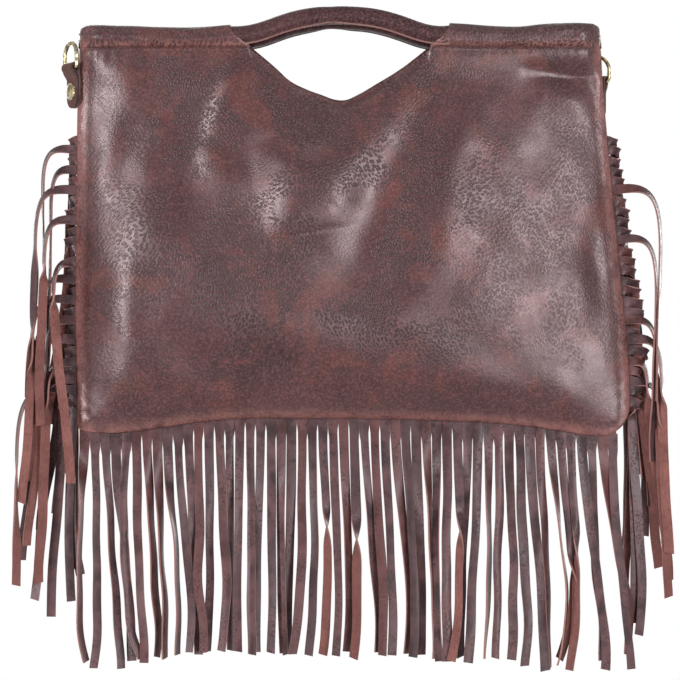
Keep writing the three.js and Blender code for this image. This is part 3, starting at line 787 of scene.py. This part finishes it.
def hanging_path(root, middle, tip, forward, length, wave, draw):
    """A strip that hangs from root, swaying sideways by middle halfway down and by tip at its end."""
    s = np.linspace(0.0, 1.0, 80)
    x = (8 * middle - tip) * s**2 + (2 * tip - 8 * middle) * s**3
    x = x + wave * np.sin(math.tau * (draw.uniform(1.1, 1.7) * s + draw.random())) * s * (1.3 - s)
    x = x + 0.4 * wave * np.sin(math.tau * (draw.uniform(2.4, 3.4) * s + draw.random())) * s
    y = -forward * s**1.5 + 0.8 * wave * np.sin(math.tau * (draw.uniform(0.9, 1.5) * s + draw.random())) * s
    y = y - draw.uniform(0.0, 1.8) * np.exp(-(((s - 0.15) / 0.08) ** 2))
    step = length / (len(s) - 1)
    drop = np.sqrt(np.clip(step**2 - np.diff(x) ** 2 - np.diff(y) ** 2, 0.05 * step**2, None))
    z = -np.concatenate([[0.0], np.cumsum(drop)])
    return np.stack([root[0] + x, root[1] + y, root[2] + z], axis=1)


def add_header(shape, x, z, flip):
    """The uncut edge of a fringe, in the seam, from grids of x and z: two faces with a closed edge."""
    high, wide = x.shape
    start = len(shape.points)
    for way in (-1, 1):
        y = np.full_like(x, way * HEADER_LEATHER / 2)
        faces = grid_faces(high, wide)
        faces = [face[::-1] for face in faces] if way == flip else faces
        shape.add(np.stack([x, y, z], axis=2), faces, 0 if way < 0 else 1)
    loop = list(range(wide)) + [i * wide + wide - 1 for i in range(1, high)]
    loop += [(high - 1) * wide + j for j in range(wide - 2, -1, -1)]
    loop += [i * wide for i in range(high - 2, 0, -1)]
    back = start + high * wide
    for a, b in zip(loop, loop[1:] + loop[:1]):
        shape.faces.append((start + a, start + b, back + b, back + a))
        shape.slots.append(2)


def make_bottom_fringe():
    draw = random.Random(5)
    shape = Shape()
    count = len(BOTTOM_STRIPS)
    edge = np.linspace(BOTTOM_FIRST_X + 6.0, BOTTOM_FIRST_X + count * BOTTOM_PITCH - 1.0, 2 * count + 1)
    z = bottom_seam(edge)[None, :] + HEADER_ROWS[:, None]
    add_header(shape, np.broadcast_to(edge, z.shape), z, -1)
    slits = [draw.uniform(SLIT_SHORTEST, SLIT_LONGEST) for _ in range(count + 1)]
    s = np.linspace(0.0, 1.0, STRIP_STATIONS)
    s = 0.35 * s + 0.65 * s**1.6
    for i, (middle, tip, lower, forward, turn) in enumerate(BOTTOM_STRIPS):
        x = BOTTOM_FIRST_X + BOTTOM_PITCH * (i + 0.5)
        root = (x, 0.0, float(bottom_seam(x)) + 2.0)
        length = root[2] - SHORTEST_TIP_Z + lower
        near_end = min(i, count - 1 - i) < WAVY_ENDS
        wave = draw.uniform(0.9, 2.2) if near_end else draw.uniform(0.3, 1.3)
        path = along(hanging_path(root, middle, tip, forward, length, wave, draw), s)
        run = s * length
        place = draw.uniform(0.38, 0.6)
        if abs(turn) > 90:
            turns = turn * smooth((s - place + 0.14) / 0.28)
        else:
            turns = turn * smooth((run - 5.0) / draw.uniform(50.0, 110.0))
            turns = turns + draw.uniform(-14, 14) * np.sin(math.pi * s * draw.uniform(1.2, 2.4))
        narrow = draw.uniform(0.84, 1.0) + 0.06 * np.sin(7 * s + 9 * draw.random())
        halves = []
        for slit in (slits[i], slits[i + 1]):
            free = smooth((run - slit) / 7.0)
            halves.append(BOTTOM_PITCH / 2 * (1 - free) + BOTTOM_STRIP_WIDTH / 2 * narrow * free)
        cup, slant = draw.uniform(-0.3, 0.6), draw.uniform(-0.9, 0.9)
        add_ribbon(shape, path, face_turn(turns), halves, draw.random(), cup, slant)
    return finish_fringe(shape, "bottom_fringe")


def finish_fringe(shape, node):
    piece = shape.make("strips_" + node, [FRINGE_GRAIN, REVERSE, RAW_EDGE])
    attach(piece, "bag")
    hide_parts(node)
    return piece


def keyed(s, keys):
    """Directions or numbers at shares s, from (share, value) keys, easing from one to the next."""
    keys = [(at, np.asarray(value, float)) for at, value in keys]
    total = np.repeat(keys[0][1][None], len(s), axis=0)
    for (a, low), (b, high) in zip(keys, keys[1:]):
        total = total + smooth((s - a) / (b - a))[:, None] * (high - low)[None]
    return total


def side_strip(shape, side, x, z, draw, plan):
    """One strip of a side fringe. It leaves the seam, curls behind its root or arches over, and hangs."""
    reach = plan.reach
    lane = plan.lane
    fall = plan.fall
    top = np.array([x - side * 2.0, 0.0, z])
    if plan.arches:
        bend = np.array([x + side * reach, lane, z - fall])
        pull_a = top + np.array([side * reach * 0.8, 0.15 * lane, plan.lift])
        pull_b = bend + np.array([0.0, -0.1 * lane, fall + 0.6 * plan.lift])
        arch = bezier((top, pull_a, pull_b, bend), 40)
    else:
        behind = np.array([x + side * reach * (plan.back + 0.1), 0.7 * lane, z - 0.2 * fall])
        bend = np.array([x + side * reach * plan.back, lane, z - fall])
        pull_a = top + np.array([side * reach * 0.9, -0.1 * lane, plan.lift])
        pull_b = behind + np.array([side * reach * 0.35, -0.5 * lane, 0.0])
        first = bezier((top, pull_a, pull_b, behind), 24)
        ahead = (behind - pull_b) / 3.0
        second = bezier((behind, behind + ahead, bend + np.array([0.0, 0.0, 0.6 * fall]), bend), 16)
        arch = np.concatenate([first, second[1:]])
    sway = (plan.middle, plan.tip, plan.forward)
    fall_path = hanging_path(bend, *sway, SIDE_STRIP, plan.wave, draw)
    path = cut_to(np.concatenate([arch, fall_path[1:]]), plan.length)
    bent = np.linalg.norm(np.diff(arch, axis=0), axis=1).sum() / plan.length
    stations = np.concatenate([np.linspace(0.0, bent, 26)[:-1], np.linspace(bent, 1.0, STRIP_STATIONS - 6)])
    path = along(path, stations)
    level = (0.0, 0.0, float(side))
    leaning = (0.0, draw.uniform(-1.4, -0.5) * side, float(side))
    over = (0.35, float(side), 0.3 * side)
    hang = face_turn(np.array(plan.turn))
    twisted = face_turn(np.array(plan.turn + plan.twist))
    if plan.arches:
        keys = [(0.0, level), (0.55 * bent, over), (0.95 * bent, over)]
    else:
        keys = [(0.0, level), (0.1 * bent, level), (0.35 * bent, leaning), (0.6 * bent, level)]
    keys.extend([(bent + 0.12, hang), (1.0, twisted)])
    width = STRIP_WIDTH / 2 * draw.uniform(0.9, 1.08)
    free = smooth((stations * plan.length - 2.5) / 4.0)
    halves = STRIP_PITCH / 2 * (1 - free) + width * free
    cup, slant = draw.uniform(-0.2, 0.4), draw.uniform(-0.9, 0.9)
    add_ribbon(shape, path, keyed(stations, keys), (halves, halves), draw.random(), cup, slant)


# One row for each strip of a side fringe, from the top: how far it reaches out before it hangs, how far
# behind the seam it hangs, how far its middle and its tip sway outwards, its turn where it starts to hang,
# and its twist by the tip.
LEFT_STRIPS = [
    (6, 9, 3, 6, -40, 10), (24, 3, -2, 1, -80, 20), (5, 11, 4, 9, -60, 0), (20, 2, 2, 6, -75, 10),
    (6, 8, 5, 12, -50, 10), (29, -7, 3, 7, -35, -130), (5, 12, 6, 14, -60, 0), (8, 6, 6, 16, -160, 20),
    (22, -10, 4, -14, -178, 6), (6, 10, 5, 12, -40, 0), (9, 5, 12, 24, -150, 10), (5, 12, 4, 10, -20, 0),
    (14, -13, -8, -9, -176, 8), (6, 8, 8, 18, -60, 20), (26, -4, 6, 14, -172, 8), (5, 11, 6, 14, -45, 0),
    (30, -8, 6, 15, -185, 10), (8, 7, 10, 20, -20, 15), (22, -3, 8, 16, -168, 12), (8, 10, 2, -3, -15, 0),
    (27, 4, 8, 14, -15, 20), (12, 9, 0, -8, -20, 10), (20, -6, 4, 2, -178, 6), (13, 6, 3, -2, -10, 10),
    (24, 2, 4, 8, -20, 15), (42, -8, 1, -3, -95, -80), (14, 4, 6, 5, -8, 8),
]
RIGHT_STRIPS = [
    (7, 9, 2, 5, 40, 10), (8, 12, 2, 5, 50, 0), (8, 8, 3, 6, 30, 10), (9, 13, 3, 7, 60, 0),
    (9, 10, 3, 7, 40, 0), (33, -7, -4, 14, 70, 40), (10, 12, 3, 8, 45, 0), (10, 8, 4, 8, 60, -10),
    (10, 14, 3, 8, 30, 0), (11, 10, 4, 9, 50, 0), (28, -9, -3, 4, 74, -30), (11, 12, 4, 9, 45, 0),
    (12, 8, 5, 10, 30, 15), (12, 14, 5, 10, 55, 0), (13, 9, 7, 14, 15, 0), (13, 5, 12, 20, 160, 15),
    (14, 12, 8, 14, 15, 0), (14, 9, 4, 2, 22, 0), (22, -4, 4, 9, 170, 8), (15, 12, 0, -6, 10, 0),
    (24, -9, 3, 6, 176, 6), (15, 6, 8, 12, 160, 10), (14, -5, 10, 12, 172, 8), (15, 10, -2, -8, 16, 0),
    (20, -8, 4, 5, 183, -8), (14, 7, 2, -2, 8, 0), (13, 4, 6, -1, 10, 10),
]
LONG_REACH = 23.0
ARCH_REACH = 18.0
ARCH_FALL = (1.0, 1.4)
CURL_FALL = (0.7, 1.1)


def make_side_fringe(label, side, seam, strips, seed):
    draw = random.Random(seed)
    shape = Shape()
    heights = np.linspace(SIDE_TOP_Z, SIDE_TOP_Z - SIDE_STRIPS * STRIP_PITCH, 60)
    x = seam(heights)[None, :] - side * HEADER_ROWS[:, None]
    add_header(shape, x, np.broadcast_to(heights, x.shape), side)
    for i, (reach, lane, middle, tip, turn, twist) in enumerate(strips):
        z = SIDE_TOP_Z - STRIP_PITCH * (i + 0.5)
        far = reach > LONG_REACH
        arches = reach > ARCH_REACH or lane < 0
        plan = SimpleNamespace(
            arches=arches,
            reach=reach + draw.uniform(-1.0, 1.0),
            lane=lane + draw.uniform(-1.0, 1.0),
            back=0.2 if tip < 0 else 0.75,
            fall=draw.uniform(*(ARCH_FALL if arches else CURL_FALL)) * reach + 4.0,
            lift=draw.uniform(2.0, 4.0) if far else draw.uniform(-3.0, 2.0),
            middle=side * middle,
            tip=side * tip,
            forward=draw.uniform(-3.0, 3.0),
            wave=draw.uniform(0.6, 2.0),
            length=SIDE_STRIP * draw.uniform(0.95, 1.05),
            turn=turn,
            twist=twist + draw.uniform(-12, 12),
        )
        side_strip(shape, side, float(seam(z)), z, draw, plan)
    return finish_fringe(shape, f"{label}_side_fringe")


bottom_fringe = make_bottom_fringe()
left_fringe = make_side_fringe("left", -1, left_seam, LEFT_STRIPS, 21)
right_fringe = make_side_fringe("right", 1, right_seam, RIGHT_STRIPS, 33)


# Handles


def handle_line(side):
    """The middle of a handle, from the left end of its tunnel over the grip to the right end."""
    half = [(x, handle_out(x), TUNNEL_Z) for x in np.linspace(HANDLE_END_X, HANDLE_MOUTH_X, 24)[:-1]]
    mouth = (HANDLE_MOUTH_X, HANDLE_Y, TUNNEL_Z)
    crest = (0.0, HANDLE_Y, HANDLE_TOP_Z)
    half.extend(bezier((mouth, (51.0, HANDLE_Y + 1.4, TUNNEL_Z), (44.0, HANDLE_Y, HANDLE_TOP_Z), crest), 46))
    half = np.array(half)
    line = np.concatenate([half * (-1, 1, 1), half[-2::-1]])
    inside = smooth((np.abs(line[:, 0]) - 70.0) / 20.0)
    hump = 0.9 * np.exp(-(((np.abs(line[:, 0]) - 76.0) / 14.0) ** 2))
    line[:, 2] += tunnel_sag(line[:, 0]) * inside + hump
    line[:, 1] *= -side
    return line


def make_handle(node, side, seed):
    """A rolled handle with a lapped edge along its underside."""
    line = handle_line(side)
    ahead = unit(np.gradient(line, axis=0))
    front = np.array([0.0, -side, 0.0])
    front = unit(front - ahead * (ahead @ front)[:, None])
    up = np.cross(front, ahead) * side
    x = line[:, 0]
    ends = np.sqrt(np.clip((HANDLE_END_X - np.abs(x)) / 9.0, 0.0, 1.0))
    size = HANDLE_RADIUS * (0.25 + 0.75 * ends) * (1 - 0.05 * np.exp(-(((x + 7) / 5.0) ** 2)))
    size = size + 0.12 * ripple(x, 0.0, seed, 30.0)
    lip = smooth((88.0 - np.abs(x)) / 12.0) * (1 - 0.85 * np.exp(-(((x + 6) / 11.0) ** 2)))
    section = [(angle, 0.0) for angle in HANDLE_SECTION]
    section.extend([(math.radians(angle), proud) for angle, proud in LIP_SECTION])
    rings = []
    for angle, proud in section:
        radius = size + proud * lip
        out = front * (radius * math.cos(angle))[:, None] + up * (radius * math.sin(angle))[:, None]
        rings.append(line + out)
    kinds = [0] * len(HANDLE_SECTION) + [0, 2, 0]
    faces, slots = rod_faces(len(line), kinds, 2)
    if side < 0:
        faces = [face[::-1] for face in faces]
    shape = Shape()
    shape.add(np.stack(rings, axis=1), faces, slots)
    piece = shape.make("roll_" + node, [HANDLE_GRAIN, REVERSE, RAW_EDGE], 50.0)
    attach(piece, "bag")
    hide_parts(node)


make_handle("front_handle", 1, 51)
make_handle("back_handle", -1, 52)


# Rings, tabs and rivets


def placed(points, ring_set):
    """Points of a ring set, from its own directions (out of the bag, along the bar, up) to the bag's."""
    place, out = ring_set
    out = np.array(out) / np.linalg.norm(out)
    up = np.array([0.0, 0.0, 1.0])
    bar = np.cross(up, out)
    points = np.asarray(points, float)
    return np.array(place) + points[..., :1] * out + points[..., 1:2] * bar + points[..., 2:] * up


def make_tab(node, ring_set):
    """A strap that is folded round the ring's bar and riveted to the bag."""
    path = [(TAB_LEATHER / 2, z) for z in np.linspace(TAB_FOOT, TAB_WAIST, 22)]
    for turn in np.linspace(math.pi + TAB_LEAN * 0.9, -TAB_LEAN * 1.5, 40):
        path.append((EYE_X + EYE_MIDDLE_RADIUS * math.cos(turn), EYE_MIDDLE_RADIUS * math.sin(turn)))
    path.extend([(5.2, -4.2), (3.7, -6.4), (2.8, -7.9)])
    path.extend([(TAB_OUTER_LEG, z) for z in np.linspace(TAB_WAIST - 0.6, TAB_FOOT, 22)])
    x, z = along(path, np.linspace(0.0, 1.0, 110)).T
    from_foot = np.clip((z - TAB_FOOT) / TAB_HALF_WIDTH, 0.0, 1.0)
    halves = TAB_HALF_WIDTH * np.sqrt(np.clip(1 - (1 - from_foot) ** 2, 0.02, 1.0))
    points = placed(np.stack([x, np.zeros_like(x), z], axis=1), ring_set)
    sideways = placed(np.array([0.0, 1.0, 0.0]), ring_set) - placed(np.zeros(3), ring_set)
    across = np.broadcast_to(-sideways, points.shape)
    shape = Shape()
    add_ribbon(shape, points, across, (halves, halves), 0.5, cup=0.12, half=TAB_LEATHER / 2)
    piece = shape.make("strap_" + node, [TAB_GRAIN, LINING_SUEDE, TAB_EDGE], 50.0)
    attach(piece, "bag")
    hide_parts(node)


def make_ring(node, ring_set, body):
    """A brass D of round wire."""
    straight = RING_HALF_WIDTH - RING_CORNER
    half = [(y, 0.0) for y in np.linspace(0.0, straight, 6)[:-1]]
    for turn in np.linspace(-math.pi / 2, 0.0, 9):
        half.append((straight + RING_CORNER * math.cos(turn), RING_CORNER + RING_CORNER * math.sin(turn)))
    half.extend([(RING_HALF_WIDTH, z) for z in np.linspace(RING_CORNER, RING_ARM_TOP, 5)[1:-1]])
    for turn in np.linspace(0.0, math.pi / 2, 16):
        half.append((RING_HALF_WIDTH * math.cos(turn), RING_ARM_TOP + RING_HALF_WIDTH * math.sin(turn)))
    half = np.array(half)
    loop = np.concatenate([half, (half * (-1, 1))[-2:0:-1]])
    ahead = unit(np.roll(loop, -1, axis=0) - np.roll(loop, 1, axis=0))
    away = np.stack([ahead[:, 1], -ahead[:, 0]], axis=1)
    count = len(loop)
    rings = []
    for angle in np.linspace(0.0, math.tau, WIRE_SIDES, endpoint=False):
        y, z = (loop + away * RING_WIRE * math.cos(angle)).T
        rings.append(np.stack([np.full(count, EYE_X + RING_WIRE * math.sin(angle)), y, z], axis=1))
    faces = []
    for i in range(count):
        here, after = i * WIRE_SIDES, (i + 1) % count * WIRE_SIDES
        for k in range(WIRE_SIDES):
            n = (k + 1) % WIRE_SIDES
            faces.append((here + k, after + k, after + n, here + n))
    shape = Shape()
    shape.add(placed(np.stack(rings, axis=1), ring_set), faces, 0)
    piece = shape.make("wire_" + node, [BRASS], 60.0)
    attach(piece, body)
    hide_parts(node)


def make_rivet(node, ring_set):
    """A rivet with a domed cap, a shank through both legs of the tab and a base."""
    profile = [(-0.75, 0.0), (-0.75, 4.0), (-0.6, 4.4), (-0.2, 4.4), (-0.15, 4.2), (-0.15, RIVET_SHANK)]
    profile.extend([(RIVET_SEAT, RIVET_SHANK), (RIVET_SEAT, RIVET_CAP - 0.3), (RIVET_SEAT + 0.25, RIVET_CAP)])
    rim = RIVET_SEAT + RIVET_RIM
    profile.append((rim, RIVET_CAP - 0.05))
    for turn in np.linspace(0.12, 1.0, 10) * math.pi / 2:
        profile.append((rim + (RIVET_DOME - RIVET_RIM) * math.sin(turn), (RIVET_CAP - 0.1) * math.cos(turn)))
    angles = np.linspace(0.0, math.tau, RIVET_SIDES, endpoint=False)
    rings = []
    for x, radius in profile:
        y, z = radius * np.cos(angles), RIVET_Z + radius * np.sin(angles)
        rings.append(np.stack([np.full(RIVET_SIDES, x), y, z], axis=1))
    shape = Shape()
    shape.add(placed(np.array(rings), ring_set), grid_faces(len(profile), RIVET_SIDES, closed=True), 0)
    piece = shape.make("cap_" + node, [BRASS], 50.0)
    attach(piece, "bag")
    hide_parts(node)


for label, ring_set in (("left", LEFT_SET), ("right", RIGHT_SET)):
    make_tab(f"{label}_ring_tab", ring_set)
    make_ring(f"{label}_d_ring", ring_set, f"{label}_ring")
    make_rivet(f"{label}_tab_rivet", ring_set)


# Camera, floor and light


def add_camera():
    data = bpy.data.cameras.new("camera")
    data.sensor_width = SENSOR_WIDTH
    data.lens = SENSOR_WIDTH * CAMERA_DISTANCE / FRAME_WIDTH
    camera = add_object("camera", data)
    camera.location = (0.0, -CAMERA_DISTANCE, FRAME_CENTRE_Z)
    camera.rotation_euler = (math.pi / 2, 0.0, 0.0)
    bpy.context.scene.camera = camera


def add_softbox(name, azimuth, elevation, distance, size, power):
    """A soft lamp that faces the bag. Azimuth 0 is the camera's side and 90 the right."""
    data = bpy.data.lights.new(name, "AREA")
    data.shape = "RECTANGLE"
    data.size, data.size_y = size
    data.energy = power
    lamp = add_object(name, data)
    a, e = math.radians(azimuth), math.radians(elevation)
    way = Vector((math.sin(a) * math.cos(e), -math.cos(a) * math.cos(e), math.sin(e)))
    lamp.location = LAMP_AIM + way * distance
    lamp.rotation_euler = (-way).to_track_quat("-Z", "Y").to_euler()


def add_floor():
    corners = [(x * FLOOR_HALF, y * FLOOR_HALF, FLOOR_Z) for x, y in ((-1, -1), (1, -1), (1, 1), (-1, 1))]
    mesh = bpy.data.meshes.new("floor")
    mesh.from_pydata(corners, [], [(0, 1, 2, 3)])
    mesh.materials.append(Paint("floor").finish({"Base Color": (0.9, 0.9, 0.9, 1.0), "Roughness": 0.8}))
    floor = add_object("floor", mesh)


def add_world(ambient):
    """White to the camera, in reflections and through glass, and a plain ambient level for the rest."""
    world = bpy.data.worlds.new("studio")
    bpy.context.scene.world = world
    nodes = Nodes(world)
    rays = nodes.node("ShaderNodeLightPath").outputs
    seen = nodes.calculated("MAXIMUM", rays["Is Camera Ray"], rays["Is Glossy Ray"])
    seen = nodes.calculated("MAXIMUM", seen, rays["Is Transmission Ray"])
    level = nodes.node("ShaderNodeMapRange", {"Value": seen, "To Min": ambient, "To Max": 1.0})
    inputs = {"Color": (1.0, 1.0, 1.0, 1.0), "Strength": level.outputs["Result"]}
    back = nodes.node("ShaderNodeBackground", inputs)
    nodes.node("ShaderNodeOutputWorld", {"Surface": back.outputs["Background"]})


add_camera()
add_floor()
add_world(0.25)
add_softbox("right_softbox", 36, 2, 1.7, (0.46, 1.2), 22.5)
add_softbox("left_softbox", -45, 5, 1.7, (0.36, 1.2), 26.0)
add_softbox("low_softbox", 8, -14, 1.8, (0.9, 0.3), 5.0)
add_softbox("top_softbox", 5, 62, 1.8, (1.0, 0.6), 2.0)
add_softbox("back_right_softbox", 150, 14, 1.8, (0.6, 1.2), 16.0)
add_softbox("back_left_softbox", -158, 18, 1.8, (0.6, 1.2), 12.0)

bpy.context.scene.view_settings.view_transform = "Standard"
